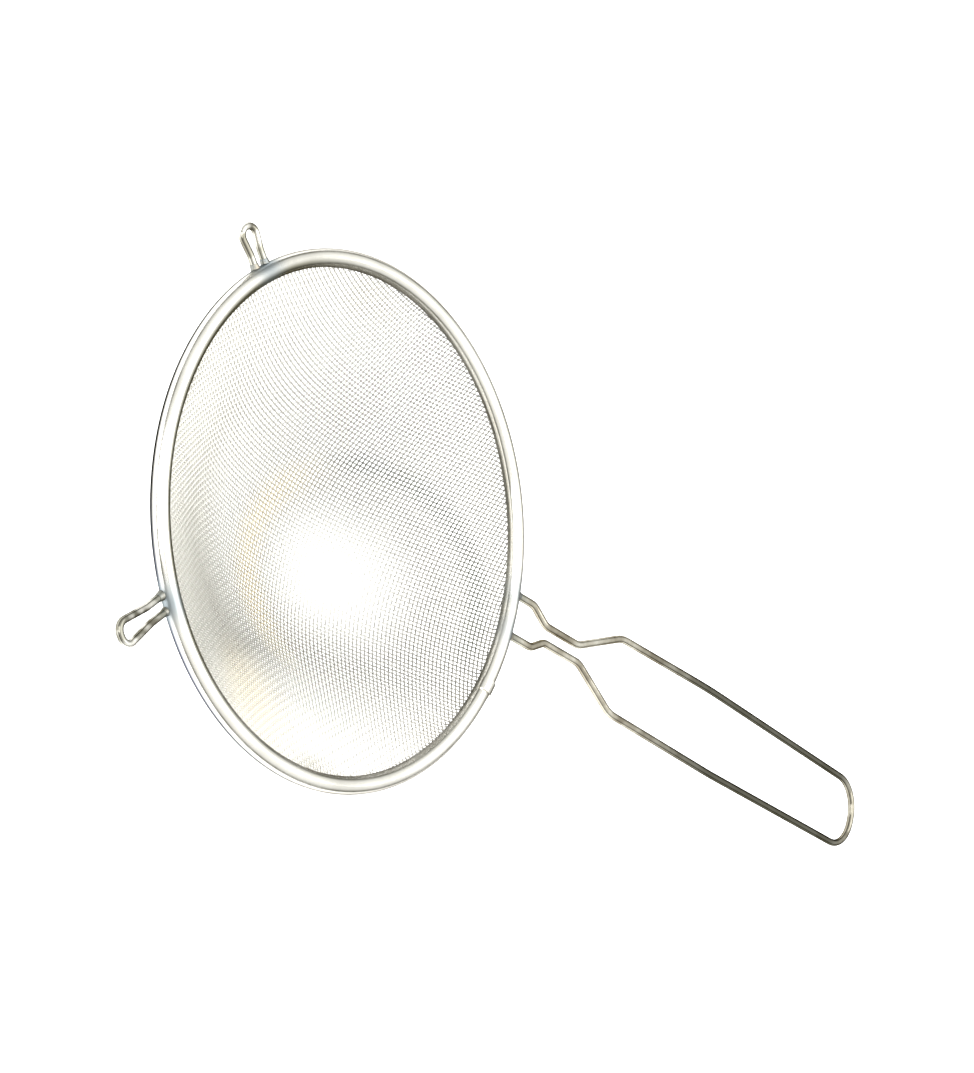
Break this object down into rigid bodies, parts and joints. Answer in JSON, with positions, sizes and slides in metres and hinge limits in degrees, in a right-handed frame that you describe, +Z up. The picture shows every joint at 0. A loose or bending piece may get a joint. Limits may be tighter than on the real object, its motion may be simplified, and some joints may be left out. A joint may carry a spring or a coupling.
{
  "type": "tea strainer",
  "caption": "Round wire-mesh tea strainer with a rolled steel hoop, a deep woven bowl, a bent wire handle and wire rest ears.",
  "frame": {"origin": "centre of the hoop, in the plane of its core wire", "axes": "+Z up out of the open mouth along the bowl's axis, +X along the handle"},
  "size_m": [0.237, 0.1, 0.0265],
  "materials": {
    "rolled_strip": "bright rolled stainless strip",
    "core_wire": "plain drawn wire, hidden in the roll",
    "woven_mesh": "plain-woven stainless wire cloth",
    "bent_wire": "drawn stainless wire, polished",
    "weld": "resistance weld, greyed by heat"
  },
  "bodies": {
    "root": {"rim_hoop": "rolled_strip", "rim_core_wire": "core_wire", "mesh_bowl": "woven_mesh", "handle_wire": "bent_wire", "ear_left": "bent_wire", "ear_right": "bent_wire", "handle_welds": "weld", "ear_left_welds": "weld", "ear_right_welds": "weld"}
  },
  "joints": []
}
